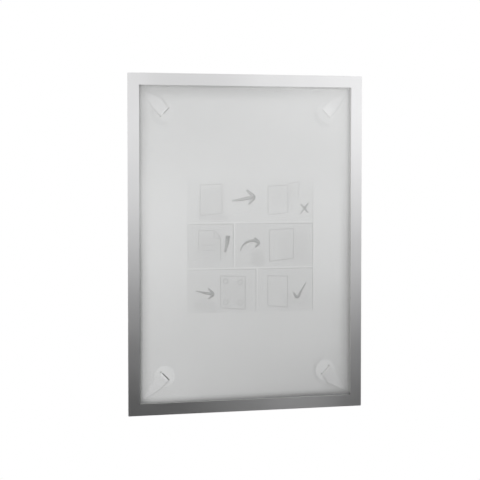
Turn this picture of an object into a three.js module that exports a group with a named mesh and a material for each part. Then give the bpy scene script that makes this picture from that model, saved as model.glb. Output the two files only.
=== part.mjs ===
// Magnetic document frame for a wall. A satin silver front with a clear window folds up on a tape
// hinge along its top edge, and magnet strips hold it shut on a frosted back sheet. Four round
// adhesive pads behind the sheet stick it to the wall, each with a tapered pull tab that comes
// through a slit to the front.
// Millimetres, +X right and +Z up. The front faces -Y, and the origin is on the wall behind the
// middle of the frame. Each piece is drawn as seen from the front: x right, y up, z out of the wall.

import * as THREE from "three";

// Outline of the frame
const frameWidth = 325;
const frameHeight = 445;
const borderWidth = 15.5;
const outerCornerRadius = 1;
const windowCornerRadius = 0.6;
const backSheetSetback = 1.2;

// Thicknesses of the layers
const faceThickness = 0.6;
const faceEdgeRound = 0.1;
const windowFilmThickness = 0.25;
const magnetThickness = 1.5;
const backSheetThickness = 0.3;
const hingeTapeThickness = 0.2;
const glueLine = 0.05;
const closingGap = 0.2;

// Magnet strips, mitred at the corners
const magnetOuterSetback = 1.7;
const magnetInnerSetback = 0.3;
const magnetMitreGap = 0.6;

// Tape hinge along the top edge
const hingeLeafHeight = 12;
const hingeEndClearance = 1;
const hingeRise = 0.3;
const hingeFoldGap = 0.05;

// Adhesive pads
const padDiameter = 28;
const padThickness = 0.9;
const padEdgeRound = 0.2;
const padInset = 50;

// Pull tabs and the slits that they come through
const tabThickness = 0.2;
const tabWidth = 14;
const tabTipWidth = 3;
const tabTipSetback = 9.5;
const tabFoldHeight = 2;
const tabBendRadius = 0.6;
const tabRampLength = 15;
const tabRampEndHeight = 0.6;
const slitClearance = 0.3;
const slitFingerGap = 1.6;

// Steps of the round shapes
const padSegments = 48;
const padRimSegments = 2;
const cornerSegments = 4;
const bendSteps = 6;

// Depths of the layers, measured out of the wall
const backSheetBack = padThickness + glueLine;
const backSheetFront = backSheetBack + backSheetThickness;
const rearMagnetBack = backSheetFront + glueLine;
const rearMagnetFront = rearMagnetBack + magnetThickness;
const hingeDepth = rearMagnetFront + closingGap / 2;
const frontMagnetBack = rearMagnetFront + closingGap;
const frontMagnetFront = frontMagnetBack + magnetThickness;
const windowFilmBack = frontMagnetFront + glueLine;
const faceBack = windowFilmBack + windowFilmThickness + glueLine;

// The top strips are thinner, to leave room for the hinge tape
const tapeRebate = hingeTapeThickness + glueLine;
const hingeHeight = frameHeight / 2 + hingeRise;

const finishes = {
  silverFoil: { color: 0xb9bbbc, roughness: 0.32, metalness: 0.85 },
  clearFilm: { color: 0xf4f6f6, roughness: 0.12, metalness: 0, transparent: true, opacity: 0.2 },
  magnetRubber: { color: 0xb2b1af, roughness: 0.75, metalness: 0 },
  frostedSheet: { color: 0xd6d7d7, roughness: 0.6, metalness: 0, transparent: true, opacity: 0.9 },
  adhesiveGel: { color: 0xe9eae8, roughness: 0.35, metalness: 0 },
  tabFilm: { color: 0xe2e3e3, roughness: 0.3, metalness: 0 },
  hingeTape: { color: 0xdfe0df, roughness: 0.4, metalness: 0 },
};

const sides = [
  { name: "top", turn: 0, length: frameWidth, reach: frameHeight / 2 },
  { name: "right", turn: -Math.PI / 2, length: frameHeight, reach: frameWidth / 2 },
  { name: "bottom", turn: Math.PI, length: frameWidth, reach: frameHeight / 2 },
  { name: "left", turn: Math.PI / 2, length: frameHeight, reach: frameWidth / 2 },
];

const corners = [
  { name: "top_left", right: -1, up: 1 },
  { name: "top_right", right: 1, up: 1 },
  { name: "bottom_left", right: -1, up: -1 },
  { name: "bottom_right", right: 1, up: -1 },
].map(({ name, right, up }) => ({
  name,
  x: right * (frameWidth / 2 - padInset),
  y: up * (frameHeight / 2 - padInset),
  outward: Math.atan2(up, right),
}));

// Adds one piece, with its back at the given depth
function addPiece(group, name, geometry, finish, depth) {
  const mesh = new THREE.Mesh(geometry, new THREE.MeshStandardMaterial(finishes[finish]));
  mesh.name = name;
  mesh.position.z = depth;
  group.add(mesh);
  return mesh;
}

// Traces a rectangle with round corners about the origin
function roundedRectangle(outline, width, height, radius) {
  const x = width / 2 - radius;
  const y = height / 2 - radius;
  outline.absarc(x, y, radius, 0, Math.PI / 2);
  outline.absarc(-x, y, radius, Math.PI / 2, Math.PI);
  outline.absarc(-x, -y, radius, Math.PI, 1.5 * Math.PI);
  outline.absarc(x, -y, radius, 1.5 * Math.PI, 2 * Math.PI);
  outline.closePath();
  return outline;
}

function flatPiece(shape, thickness) {
  return new THREE.ExtrudeGeometry(shape, {
    depth: thickness,
    bevelEnabled: false,
    curveSegments: cornerSegments,
  });
}

// The outline of a sheet of the frame, set back from the border's outer edge
function frameOutline(setback = 0) {
  const width = frameWidth - 2 * setback;
  const height = frameHeight - 2 * setback;
  return roundedRectangle(new THREE.Shape(), width, height, outerCornerRadius);
}

// The silver border, with rounded edges outside and round the window
function faceFrame() {
  const shape = frameOutline();
  const windowWidth = frameWidth - 2 * borderWidth;
  const windowHeight = frameHeight - 2 * borderWidth;
  shape.holes.push(
    roundedRectangle(new THREE.Path(), windowWidth, windowHeight, windowCornerRadius),
  );
  const geometry = new THREE.ExtrudeGeometry(shape, {
    depth: faceThickness - 2 * faceEdgeRound,
    bevelThickness: faceEdgeRound,
    bevelSize: faceEdgeRound,
    bevelOffset: -faceEdgeRound,
    bevelSegments: 2,
    curveSegments: cornerSegments,
  });
  return geometry.translate(0, 0, faceEdgeRound);
}

// A magnet strip cut at 45 degrees at both ends, with its outer edge on the x axis
function mitredStrip(length, thickness) {
  const width = borderWidth - magnetOuterSetback - magnetInnerSetback;
  const outerEnd = length / 2 - magnetOuterSetback - magnetMitreGap / Math.SQRT2;
  const innerEnd = outerEnd - width;
  const shape = new THREE.Shape();
  shape.moveTo(-outerEnd, 0);
  shape.lineTo(-innerEnd, -width);
  shape.lineTo(innerEnd, -width);
  shape.lineTo(outerEnd, 0);
  shape.closePath();
  return flatPiece(shape, thickness);
}

// Four strips round the border. The one on the hinge side is thinner, and may start further out
function addMagnets(group, prefix, depth, hingeSideDepth) {
  for (const { name, turn, length, reach } of sides) {
    const onHinge = name === "top";
    const thickness = onHinge ? magnetThickness - tapeRebate : magnetThickness;
    const strip = addPiece(
      group,
      `${prefix}_magnet_${name}`,
      mitredStrip(length, thickness),
      "magnetRubber",
      onHinge ? hingeSideDepth : depth,
    );
    strip.rotation.z = turn;
    strip.position.x = -Math.sin(turn) * (reach - magnetOuterSetback);
    strip.position.y = Math.cos(turn) * (reach - magnetOuterSetback);
  }
}

// One leaf of the hinge tape, which reaches up to the fold
function addHingeLeaf(group, name, depth) {
  const width = frameWidth - 2 * (borderWidth + hingeEndClearance);
  const leaf = addPiece(
    group,
    name,
    new THREE.BoxGeometry(width, hingeLeafHeight, hingeTapeThickness),
    "hingeTape",
    depth + hingeTapeThickness / 2,
  );
  leaf.position.y = hingeHeight - hingeFoldGap - hingeLeafHeight / 2;
}

// A slit with round ends, square to the corner's diagonal. A tab passes through it close to the
// side that faces the corner, and the rest is open for a fingernail
function slit({ x, y, outward }) {
  const radius = (tabThickness + slitClearance + slitFingerGap) / 2;
  const shift = (slitClearance - slitFingerGap) / 2;
  const reach = tabWidth / 2 + slitClearance;
  const across = outward + Math.PI / 2;
  const middle = new THREE.Vector2(x + shift * Math.cos(outward), y + shift * Math.sin(outward));
  const end = new THREE.Vector2(Math.cos(across), Math.sin(across)).multiplyScalar(reach);
  const path = new THREE.Path();
  path.absarc(middle.x + end.x, middle.y + end.y, radius, outward, outward + Math.PI);
  path.absarc(middle.x - end.x, middle.y - end.y, radius, outward + Math.PI, outward + 2 * Math.PI);
  path.closePath();
  return path;
}

// The frosted sheet behind everything, with a slit at each pad. The border stands out past it, as
// a lip to lift the front by
function backSheet() {
  const shape = frameOutline(backSheetSetback);
  shape.holes.push(...corners.map(slit));
  return flatPiece(shape, backSheetThickness);
}

// A soft round pad with rounded rims
function adhesivePad() {
  const radius = padDiameter / 2;
  const profile = new THREE.Path();
  profile.moveTo(0, 0);
  profile.lineTo(radius - padEdgeRound, 0);
  profile.absarc(radius - padEdgeRound, padEdgeRound, padEdgeRound, -Math.PI / 2, 0);
  profile.lineTo(radius, padThickness - padEdgeRound);
  profile.absarc(radius - padEdgeRound, padThickness - padEdgeRound, padEdgeRound, 0, Math.PI / 2);
  profile.lineTo(0, padThickness);
  const points = profile.getPoints(padRimSegments);
  return new THREE.LatheGeometry(points, padSegments).rotateX(Math.PI / 2);
}

// The middle line of a tab and its width, seen from the side: up through the slit, over a round
// fold and down a ramp with parallel sides, then a tail that tapers and sinks to the sheet at its
// tip. Heights are above the sheet's front
function tabStations() {
  const tipHeight = glueLine + tabThickness / 2;
  const tipAlong = Math.SQRT2 * (padInset - borderWidth) - tabTipSetback;
  const bendHeight = tabFoldHeight - tabBendRadius;
  const rampRun = tabRampLength - tabBendRadius;
  const rampDrop = tabRampEndHeight - bendHeight;
  const rampReach = Math.hypot(rampDrop, rampRun);
  const bendEnd = Math.atan2(rampDrop, rampRun) + Math.acos(tabBendRadius / rampReach);
  const rampHeading = bendEnd - Math.PI / 2;
  const tailHeading = Math.atan2(tipHeight - tabRampEndHeight, tipAlong - tabRampLength);

  const stations = [{ along: 0, height: -backSheetThickness, heading: Math.PI / 2, width: tabWidth }];
  for (let step = 0; step <= bendSteps; step += 1) {
    const angle = THREE.MathUtils.lerp(Math.PI, bendEnd, step / bendSteps);
    stations.push({
      along: tabBendRadius * (1 + Math.cos(angle)),
      height: bendHeight + tabBendRadius * Math.sin(angle),
      heading: angle - Math.PI / 2,
      width: tabWidth,
    });
  }
  stations.push({
    along: tabRampLength,
    height: tabRampEndHeight,
    heading: (rampHeading + tailHeading) / 2,
    width: tabWidth,
  });
  stations.push({ along: tipAlong, height: tipHeight, heading: tailHeading, width: tabTipWidth });
  return stations;
}

// A tab as a flat strip lofted through its stations, along the x axis
function pullTab() {
  const positions = [];
  for (const { along, height, heading, width } of tabStations()) {
    for (const [side, face] of [[-1, 1], [1, 1], [1, -1], [-1, -1]]) {
      positions.push(
        along - (face * tabThickness * Math.sin(heading)) / 2,
        (side * width) / 2,
        height + (face * tabThickness * Math.cos(heading)) / 2,
      );
    }
  }
  const ring = 4;
  const last = positions.length / 3 - ring;
  const index = [0, 1, 2, 0, 2, 3, last, last + 2, last + 1, last, last + 3, last + 2];
  for (let start = 0; start < last; start += ring) {
    for (let k = 0; k < ring; k += 1) {
      const a = start + k;
      const b = start + ((k + 1) % ring);
      index.push(a, a + ring, b, b, a + ring, b + ring);
    }
  }
  const geometry = new THREE.BufferGeometry();
  geometry.setAttribute("position", new THREE.Float32BufferAttribute(positions, 3));
  geometry.setIndex(index);
  geometry.computeVertexNormals();
  return geometry;
}

const frame = new THREE.Group();
frame.name = "magnetic_document_frame";

// What is drawn with z out of the wall faces -Y
const drawing = new THREE.Group();
drawing.rotation.x = Math.PI / 2;
frame.add(drawing);

// The rear half stays on the wall
const rearHalf = new THREE.Group();
drawing.add(rearHalf);
addPiece(rearHalf, "back_sheet", backSheet(), "frostedSheet", backSheetBack);
addMagnets(rearHalf, "rear", rearMagnetBack, rearMagnetBack);
addHingeLeaf(rearHalf, "hinge_tape_rear_leaf", rearMagnetFront - hingeTapeThickness);
for (const corner of corners) {
  const pad = addPiece(rearHalf, `adhesive_pad_${corner.name}`, adhesivePad(), "adhesiveGel", 0);
  pad.position.x = corner.x;
  pad.position.y = corner.y;
  const tab = addPiece(rearHalf, `pull_tab_${corner.name}`, pullTab(), "tabFilm", backSheetFront);
  tab.position.x = corner.x;
  tab.position.y = corner.y;
  tab.rotation.z = corner.outward;
}

// The front half turns up about the hinge group's x axis
const hinge = new THREE.Group();
hinge.position.set(0, hingeHeight, hingeDepth);
drawing.add(hinge);
const frontHalf = new THREE.Group();
frontHalf.position.copy(hinge.position).negate();
hinge.add(frontHalf);
addHingeLeaf(frontHalf, "hinge_tape_front_leaf", frontMagnetBack);
addMagnets(frontHalf, "front", frontMagnetBack, frontMagnetBack + tapeRebate);
addPiece(
  frontHalf,
  "window_film",
  flatPiece(frameOutline(), windowFilmThickness),
  "clearFilm",
  windowFilmBack,
);
addPiece(frontHalf, "face_frame", faceFrame(), "silverFoil", faceBack);

export default frame;
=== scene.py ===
"""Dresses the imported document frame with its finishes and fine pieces, and sets the studio round it."""

import math

import bmesh
import bpy
from bpy.props import FloatProperty, FloatVectorProperty, PointerProperty
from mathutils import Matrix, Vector


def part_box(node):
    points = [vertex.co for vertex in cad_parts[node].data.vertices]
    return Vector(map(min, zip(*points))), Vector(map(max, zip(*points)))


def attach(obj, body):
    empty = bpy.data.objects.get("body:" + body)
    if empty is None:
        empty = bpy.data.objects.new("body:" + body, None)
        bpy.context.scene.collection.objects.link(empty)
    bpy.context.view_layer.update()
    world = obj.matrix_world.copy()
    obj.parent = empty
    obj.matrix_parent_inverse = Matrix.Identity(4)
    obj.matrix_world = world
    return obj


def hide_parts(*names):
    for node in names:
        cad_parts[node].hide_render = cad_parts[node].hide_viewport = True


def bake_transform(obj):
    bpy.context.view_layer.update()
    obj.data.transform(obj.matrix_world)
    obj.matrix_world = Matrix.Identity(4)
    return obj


bl_info = {
    "name": "Magnetic document frame",
    "version": (1, 0, 0),
    "blender": (4, 5, 0),
    "location": "View3D > Sidebar > Document frame",
    "description": "Finishes, fine pieces and studio for a magnetic document frame on a wall",
    "category": "Object",
}

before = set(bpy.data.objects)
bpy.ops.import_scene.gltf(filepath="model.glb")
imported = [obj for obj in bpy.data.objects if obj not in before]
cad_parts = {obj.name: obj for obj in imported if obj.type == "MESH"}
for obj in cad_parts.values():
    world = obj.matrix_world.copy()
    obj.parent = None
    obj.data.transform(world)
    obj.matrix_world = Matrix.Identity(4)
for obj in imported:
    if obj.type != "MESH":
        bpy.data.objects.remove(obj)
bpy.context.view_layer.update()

CORNERS = {
    "top_left": (-1, 1),
    "top_right": (1, 1),
    "bottom_left": (-1, -1),
    "bottom_right": (1, -1),
}

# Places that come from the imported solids
FACE_LOW, FACE_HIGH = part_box("face_frame")
SHEET_LOW, SHEET_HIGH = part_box("back_sheet")
STRIP_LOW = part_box("rear_magnet_right")[0]
PAD_LOW, PAD_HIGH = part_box("adhesive_pad_top_right")
REAR_LEAF_LOW, REAR_LEAF_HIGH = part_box("hinge_tape_rear_leaf")
FRONT_LEAF_LOW, FRONT_LEAF_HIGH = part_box("hinge_tape_front_leaf")
SHEET_FRONT = SHEET_LOW.y
PAD_CENTRE = (PAD_LOW + PAD_HIGH) / 2
PAD_RADIUS = (PAD_HIGH.x - PAD_LOW.x) / 2
BAND_EDGE = Vector((STRIP_LOW.x, 0, FACE_HIGH.z - (FACE_HIGH.x - STRIP_LOW.x)))


# Settings


def number(name, description, default, **kind):
    """A number that a user may change."""
    return FloatProperty(name=name, description=description, default=default, **kind)


def length(name, description, default):
    """A size in metres that a user may change."""
    return number(name, description, default, precision=5, subtype="DISTANCE", unit="LENGTH")


def angle(name, description, degrees):
    """An angle that a user may change."""
    return number(name, description, math.radians(degrees), subtype="ANGLE", unit="ROTATION")


def power(name, description, default):
    """A lamp's power that a user may change."""
    return number(name, description, default, min=0.0, unit="POWER")


def colour(name, description, default):
    """A colour that a user may change."""
    kind = {"min": 0.0, "max": 1.0, "subtype": "COLOR"}
    return FloatVectorProperty(name=name, description=description, default=default, **kind)


class DocumentFrameSizes(bpy.types.PropertyGroup):
    """Sizes of the pieces that are finer than their solids"""

    tab_width: length("Tab width", "Width of a pull tab along its ramp", 0.014)
    tab_tip_width: length("Tab tip width", "Width of a pull tab at its tip", 0.003)
    tab_thickness: length("Tab thickness", "Thickness of the tab film", 0.0002)
    tab_fold_height: length("Tab fold height", "Height of the fold over the sheet", 0.002)
    tab_bend_radius: length("Tab bend radius", "Radius of the fold", 0.0006)
    tab_ramp_length: length("Tab ramp length", "Length from the slit to the tail", 0.015)
    tab_ramp_end: length("Tab ramp end", "Height at which the tail starts", 0.0006)
    tab_reach: length("Tab reach", "Length from the slit to the tip", 0.0393)
    pad_core: length("Pad core", "Thickness of the film inside an adhesive pad", 0.00014)
    pad_rim: length("Pad rim", "Rounding at the rim of an adhesive pad", 0.00025)
    slit_length: length("Slit length", "Length of the dark strip under a slit", 0.0172)
    slit_width: length("Slit width", "Width of the dark strip under a slit", 0.0026)
    tongue_length: length("Tongue length", "Length of the cut tongue that lies in a closed slit", 0.014)
    tongue_width: length("Tongue width", "Width of the cut tongue that lies in a closed slit", 0.00156)
    ink_thickness: length("Ink thickness", "Thickness of the print on the sheet", 0.00002)
    bold_stroke: length("Bold stroke", "Width of the arrows and ticks", 0.0040)
    thin_stroke: length("Thin stroke", "Width of the outlines", 0.0010)
    print_width: length("Print width", "Width of the printed steps", 0.176)
    print_height: length("Print height", "Height of the printed steps", 0.178)


class DocumentFrameColours(bpy.types.PropertyGroup):
    """Colours of the finishes"""

    foil: colour("Silver foil", "Satin foil of the border", (0.768, 0.768, 0.773))
    film: colour("Window film", "Haze of the clear window", (0.93, 0.94, 0.94))
    rubber: colour("Magnet rubber", "Coat of the magnet strips", (0.52, 0.515, 0.505))
    sheet: colour("Frosted sheet", "Back sheet", (0.80, 0.802, 0.80))
    # Paler where a pad lies behind it; also the painted light across the sheet's middle
    sheet_on_pad_and_painted_light: colour("Sheet on pad", "Back sheet where a pad lies behind it", (0.885, 0.887, 0.885))
    # Painted shade on the sheet and the tabs beside the strips, and on the sheet beside the tabs and pads
    sheet_painted_shade: colour("Sheet by strip", "Back sheet right beside a strip", (0.28, 0.281, 0.28))
    sheet_on_strip: colour("Sheet on strip", "Back sheet where a strip lies in front", (0.60, 0.60, 0.60))
    gel: colour("Adhesive gel", "Adhesive pads", (0.86, 0.86, 0.845))
    tab: colour("Tab film", "Tails of the pull tabs", (0.80, 0.80, 0.80))
    # Painted light on the tabs' roots and on the sheet's rim at the upper right, and a painted highlight
    # on the tabs' folds
    painted_light_tint: colour("Tab root", "Pull tabs at their whitened folds", (0.92, 0.92, 0.92))
    tape: colour("Hinge tape", "Tape of the hinge", (0.74, 0.74, 0.73))
    # Painted shadow in the slits
    slit: colour("Slit", "Strip in a slit that is drawn open", (0.20, 0.20, 0.20))
    tint: colour("Field tint", "Fields of the printed steps below the first row", (0.772, 0.774, 0.772))
    pale_tint: colour("Pale field tint", "Field of the first printed row", (0.815, 0.817, 0.815))
    shade_tint: colour("Shade tint", "Soft shades in the printed fields", (0.69, 0.692, 0.69))
    pale_ink: colour("Pale ink", "Outlines of the printed steps", (0.60, 0.602, 0.60))
    bold_ink: colour("Bold ink", "Arrows and ticks below the first row", (0.44, 0.44, 0.44))
    soft_ink: colour("Soft ink", "Arrow and cross of the first row", (0.58, 0.58, 0.58))
    floor: colour("Floor", "Studio floor", (0.86, 0.86, 0.86))
    flag: colour("Flag", "Dark card that the silver mirrors", (0.02, 0.02, 0.02))


class DocumentFrameStage(bpy.types.PropertyGroup):
    """Camera and light of the studio"""

    azimuth: angle("Azimuth", "Camera's turn round the frame", -18.13)
    elevation: angle("Elevation", "Camera's angle over the horizon", 2.62)
    distance: length("Distance", "Camera's distance from its target", 2.251)
    lens: number("Lens", "Focal length of the camera on a 36 mm sensor", 128.0, unit="CAMERA")
    fill: number("Fill", "Light from all round on matt surfaces, where 1 is white", 0.32, min=0.0)
    left_light: power("Left light", "Softbox on the left of the frame", 11.8)
    right_light: power("Right light", "Softbox on the right of the frame", 2.9)
    top_light: power("Top light", "Softbox over the frame on the right", 5.8)
    sheen_light: power("Sheen light", "Small softbox that the silver mirrors at the upper right", 0.13)
    low_sheen_light: power("Low sheen light", "Small softbox that it mirrors at the lower right", 0.05)


# Each tab's fold height as a share of the full one, the lifted side of its tail and that side's spread
TAB_SPREAD = 0.42
TAB_STANDS = {
    "top_left": (0.55, -1, TAB_SPREAD),
    "top_right": (0.25, -1, 0.0),
    "bottom_left": (1.0, 1, 0.0),
    "bottom_right": (0.5, -1, TAB_SPREAD),
}

# Gap under a tail, the places across a tab that are drawn, and a tail's most lean as a share of its width
TAB_CLEARANCE = 0.00005
TAB_COLUMNS = (-0.5, -0.25, 0.0, 0.25, 0.5)
TAB_LEAN = 0.12

# Each tongue's start and end as shares of the full length, and its gap to the tab
TONGUES = {
    "top_right": (0.0, 1.0, 0.00002),
    "bottom_right": (0.0, 1.0, 0.0003),
    "top_left": (0.62, 1.0, 0.00002),
    "bottom_left": (0.0, 0.15, 0.00002),
}

# How far a tongue lies under the sheet's front, and its thickness as a share of the sheet's
TONGUE_SUNK = 0.00002
TONGUE_THICKNESS = 0.95

# Painted reflection and shade on the foil, in millimetres from the frame's middle: middle, half size, fade
# and tone
FOIL_PAINTED_REFLECTIONS = (
    ((-75.0, 215.0), (65.0, 40.0), (40.0, 40.0), 0.92),
    ((-120.0, -215.0), (70.0, 20.0), (40.0, 12.0), 0.88),
    ((152.0, -208.0), (25.0, 30.0), (15.0, 25.0), 0.89),
    ((-155.0, 40.0), (20.0, 150.0), (10.0, 80.0), 1.07),
    ((155.0, -75.0), (20.0, 50.0), (10.0, 30.0), 1.1),
    ((155.0, 140.0), (20.0, 40.0), (10.0, 30.0), 1.04),
    ((75.0, -215.0), (45.0, 40.0), (30.0, 30.0), 1.1),
)

# Mean tone of the foil's grain
FOIL_MEAN = 0.985

# Middle of the print, and its soft shades in millimetres from there: middle, half size, fade and share
PRINT_CENTRE = (0.0064, -0.0026)
PRINT_SHADES = (
    ((-52.0, 56.0), (17.0, 20.0), 6.0, 0.34),
    ((-52.0, 38.0), (20.0, 5.0), 4.0, 0.45),
    ((44.0, 66.0), (20.0, 14.0), 9.0, 0.3),
    ((-56.0, -4.0), (17.0, 19.0), 7.0, 0.4),
    ((8.0, -18.0), (9.0, 11.0), 5.0, 0.75),
    ((60.0, -2.0), (20.0, 20.0), 9.0, 0.3),
    ((-22.0, -62.0), (19.0, 18.0), 8.0, 0.35),
    ((-66.0, -80.0), (16.0, 7.0), 6.0, 0.55),
    ((62.0, -74.0), (20.0, 10.0), 8.0, 0.4),
)

# Printed fields, and what is drawn in them in millimetres from a field's lower left corner
WIDE, PAGE, FITTED, PRESS, DONE = range(5)

# Frames in oblique view: field, x, y, width, height and lean
FRAMES = (
    (WIDE, 18, 9, 30, 40, 3),
    (WIDE, 112, 9, 28, 38, 3),
    (FITTED, 48, 7, 34, 42, 4),
    (PRESS, 46, 7, 34, 42, -3),
    (DONE, 14, 8, 28, 40, -2.5),
)

# Discs to press: x and y in their field, radius, and the ends of their outline in degrees and its steps
DISCS = ((53, 14), (73, 13), (53, 42), (73, 40))
DISC_RADIUS = 3.2
DISC_SWEEP = (0, 330, 12)

# Thin lines: field, x, y and points, each of which may name its swell
LINES = (
    (WIDE, 112, 9, ((28, 41), (44, 44), (43, 20, 0.6))),
    (PAGE, 16, 9, ((0, 12, 0.5), (0, 40), (21, 40), (30, 30), (30, 0, 0.6))),
    (PAGE, 16, 9, ((21, 40), (21, 30), (30, 30))),
    (PAGE, 16, 9, ((5, 14), (22, 14, 0.6))),
    (PAGE, 16, 9, ((5, 21), (22, 21, 0.6))),
)

# Brushed marks that swell and thin, as arrows, a dash, a tick and a cross: field, x, y and points
MARKS = (
    (WIDE, 62, 30, ((0, -2, 0.5), (12, -0.5, 1.0), (30, 3, 1.35))),
    (WIDE, 62, 30, ((20, 12, 0.7), (31, 3, 1.3), (23, -7, 0.6))),
    (PAGE, 54, 42, ((2, 0, 1.5), (1, -10, 1.3), (-2, -22, 0.6))),
    (FITTED, 24, 18, ((3, 21, 0.5), (10, 14, 0.95), (4, 8, 0.45))),
    (PRESS, 12, 28, ((0, 2, 0.3), (12, -1, 0.75), (25, -3, 0.95))),
    (PRESS, 12, 28, ((17, 5, 0.4), (25, -3, 0.9), (17, -9, 0.35))),
    (DONE, 50, 16, ((0, 9, 0.4), (6, 0, 0.95), (10, 9, 0.75), (18, 22, 0.3))),
    (WIDE, 158, 10, ((0, 0, 0.4), (6, 8, 0.8), (11, 14, 0.5))),
    (WIDE, 158, 10, ((0, 13, 0.6), (6, 7, 0.8), (11, 1, 0.4))),
)

# Shaft of an arrow along an arc: field, x and y of its middle, radius and ends in degrees
SWEEP_PLACE = (FITTED, 24, 18)
SWEEP_RADIUS = 17
SWEEP_ENDS = (168, 58)

# Softboxes: turn and rise in degrees, width and height in metres, and whether gloss mirrors them
SOFTBOXES = {
    "left": (-57, -4, 1.05, 1.05, False),
    "right": (57, 16, 1.05, 1.05, False),
    "top": (45, 36, 0.8, 0.5, False),
    "sheen": (32, 13.5, 0.33, 0.46, True),
    "low_sheen": (22.6, -18.3, 0.16, 0.16, True),
}
LAMP_DISTANCE = 1.15

# Place on the border's front that the camera looks at
CAMERA_TARGET = (-0.0101, 0.0047)


# Node helpers


def add_node(tree, kind, **settings):
    """A new node with its settings."""
    node = tree.nodes.new(kind)
    for name, value in settings.items():
        setattr(node, name, value)
    return node


def feed(tree, socket, value):
    """Links a number or a socket into a socket, or sets a plain value on it."""
    if isinstance(value, Number):
        value = value.socket
    if isinstance(value, bpy.types.NodeSocket):
        tree.links.new(value, socket)
    elif value is not None:
        socket.default_value = value


def wire(tree, *rows):
    """Links nodes, one row for each link: node, output, node and input."""
    for source, out, target, into in rows:
        tree.links.new(source.outputs[out], target.inputs[into])


def calculate(tree, operation, first, second=None):
    """One Math node."""
    node = add_node(tree, "ShaderNodeMath", operation=operation)
    feed(tree, node.inputs[0], first)
    feed(tree, node.inputs[1], second)
    return Number(tree, node.outputs["Value"])


class Number:
    """A number that varies over a surface: a socket of a node tree that takes part in sums."""

    def __init__(self, tree, socket):
        self.tree = tree
        self.socket = socket

    def __add__(self, other):
        return calculate(self.tree, "ADD", self, other)

    def __sub__(self, other):
        return calculate(self.tree, "SUBTRACT", self, other)

    def __rsub__(self, other):
        return calculate(self.tree, "SUBTRACT", other, self)

    def __mul__(self, other):
        return calculate(self.tree, "MULTIPLY", self, other)

    def __abs__(self):
        return calculate(self.tree, "ABSOLUTE", self)

    def larger(self, other):
        """The larger of two numbers."""
        return calculate(self.tree, "MAXIMUM", self, other)

    def smaller(self, other):
        """The smaller of two numbers."""
        return calculate(self.tree, "MINIMUM", self, other)

    def ramp(self, from_low, from_high, to_low=0.0, to_high=1.0, smooth=False):
        """Maps one range of numbers to another."""
        kind = "SMOOTHSTEP" if smooth else "LINEAR"
        node = add_node(self.tree, "ShaderNodeMapRange", interpolation_type=kind)
        values = (self, from_low, from_high, to_low, to_high)
        for name, value in zip(("Value", "From Min", "From Max", "To Min", "To Max"), values):
            feed(self.tree, node.inputs[name], value)
        return Number(self.tree, node.outputs["Result"])

    def step(self, half):
        """A soft step from 0 to 1 about zero."""
        return self.ramp(-half, half)

    def spread(self, low, high):
        """Spreads the usual range of a noise over two values."""
        usual_low, usual_high = 0.3, 0.7
        return self.ramp(usual_low, usual_high, low, high)


def shade(tint, share):
    """A colour made paler or darker by a share."""
    return tuple(min(1.0, channel * share) for channel in tint)


def mix_shaders(tree, factor, first, second, output):
    """Mixes two shaders into the output node of a tree."""
    blend = add_node(tree, "ShaderNodeMixShader")
    for socket, value in zip(blend.inputs, (factor, first, second)):
        feed(tree, socket, value)
    wire(tree, (blend, "Shader", tree.nodes[output], "Surface"))


class Finish:
    """A material with one Principled shader, drawn from Object coordinates."""

    def __init__(self, name):
        self.material = bpy.data.materials.new(name)
        self.material.use_nodes = True
        self.tree = self.material.node_tree
        self.shader = self.tree.nodes["Principled BSDF"]
        self.place = add_node(self.tree, "ShaderNodeTexCoord").outputs["Object"]

    def parts(self):
        """The X and the Z of the Object coordinates."""
        split = self.tree.nodes.get("Parts") or add_node(self.tree, "ShaderNodeSeparateXYZ", name="Parts")
        feed(self.tree, split.inputs["Vector"], self.place)
        return Number(self.tree, split.outputs["X"]), Number(self.tree, split.outputs["Z"])

    def texture(self, node, output, **values):
        """A texture on Object coordinates, where scale is spots per metre."""
        if not node.inputs["Vector"].is_linked:
            feed(self.tree, node.inputs["Vector"], self.place)
        for name, value in values.items():
            node.inputs[name].default_value = value
        return Number(self.tree, node.outputs[output])

    def noise(self, scale, detail=2.0, stretch=None):
        """A noise, which runs one way if it is stretched by axis."""
        node = add_node(self.tree, "ShaderNodeTexNoise")
        if stretch:
            mapping = add_node(self.tree, "ShaderNodeMapping")
            mapping.inputs["Scale"].default_value = stretch
            feed(self.tree, mapping.inputs["Vector"], self.place)
            wire(self.tree, (mapping, "Vector", node, "Vector"))
        return self.texture(node, "Fac", Scale=scale, Detail=detail)

    def mix(self, factor, first, second):
        """Mixes two colours, or linked colours, by a factor."""
        node = add_node(self.tree, "ShaderNodeMix", data_type="RGBA")
        sockets = [socket for socket in node.inputs if socket.type == "RGBA"]
        feed(self.tree, node.inputs["Factor"], factor)
        for socket, value in zip(sockets, (first, second)):
            feed(self.tree, socket, value if isinstance(value, bpy.types.NodeSocket) else (*value, 1.0))
        return next(socket for socket in node.outputs if socket.type == "RGBA")

    def tones(self, factor, tint, low, high):
        """A colour that varies between two shares of its tone."""
        return self.mix(factor, shade(tint, low), shade(tint, high))

    def done(self, base, roughness, bump=None, others=None):
        """Feeds the shader and gives the material. A bump has a height, a strength and a distance."""
        inputs = {"Base Color": base, "Roughness": roughness, **(others or {})}
        for name, value in inputs.items():
            feed(self.tree, self.shader.inputs[name], value)
        if bump:
            node = add_node(self.tree, "ShaderNodeBump")
            for name, value in zip(("Height", "Strength", "Distance"), bump):
                feed(self.tree, node.inputs[name], value)
            wire(self.tree, (node, "Normal", self.shader, "Normal"))
        return self.material


# Finishes, with distances in metres


def soft_patch(place, centre, middle, half, fades):
    """A patch of 1 with soft edges. Its middle, half size and fades are in millimetres from a centre."""
    sides = []
    for spot, start, about, reach, fade in zip(place, centre, middle, half, fades):
        off = abs(spot - (start + about / 1000))
        sides.append(off.ramp((reach - fade) / 1000, (reach + fade) / 1000, 1.0, 0.0, True))
    return sides[0] * sides[1]


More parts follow.
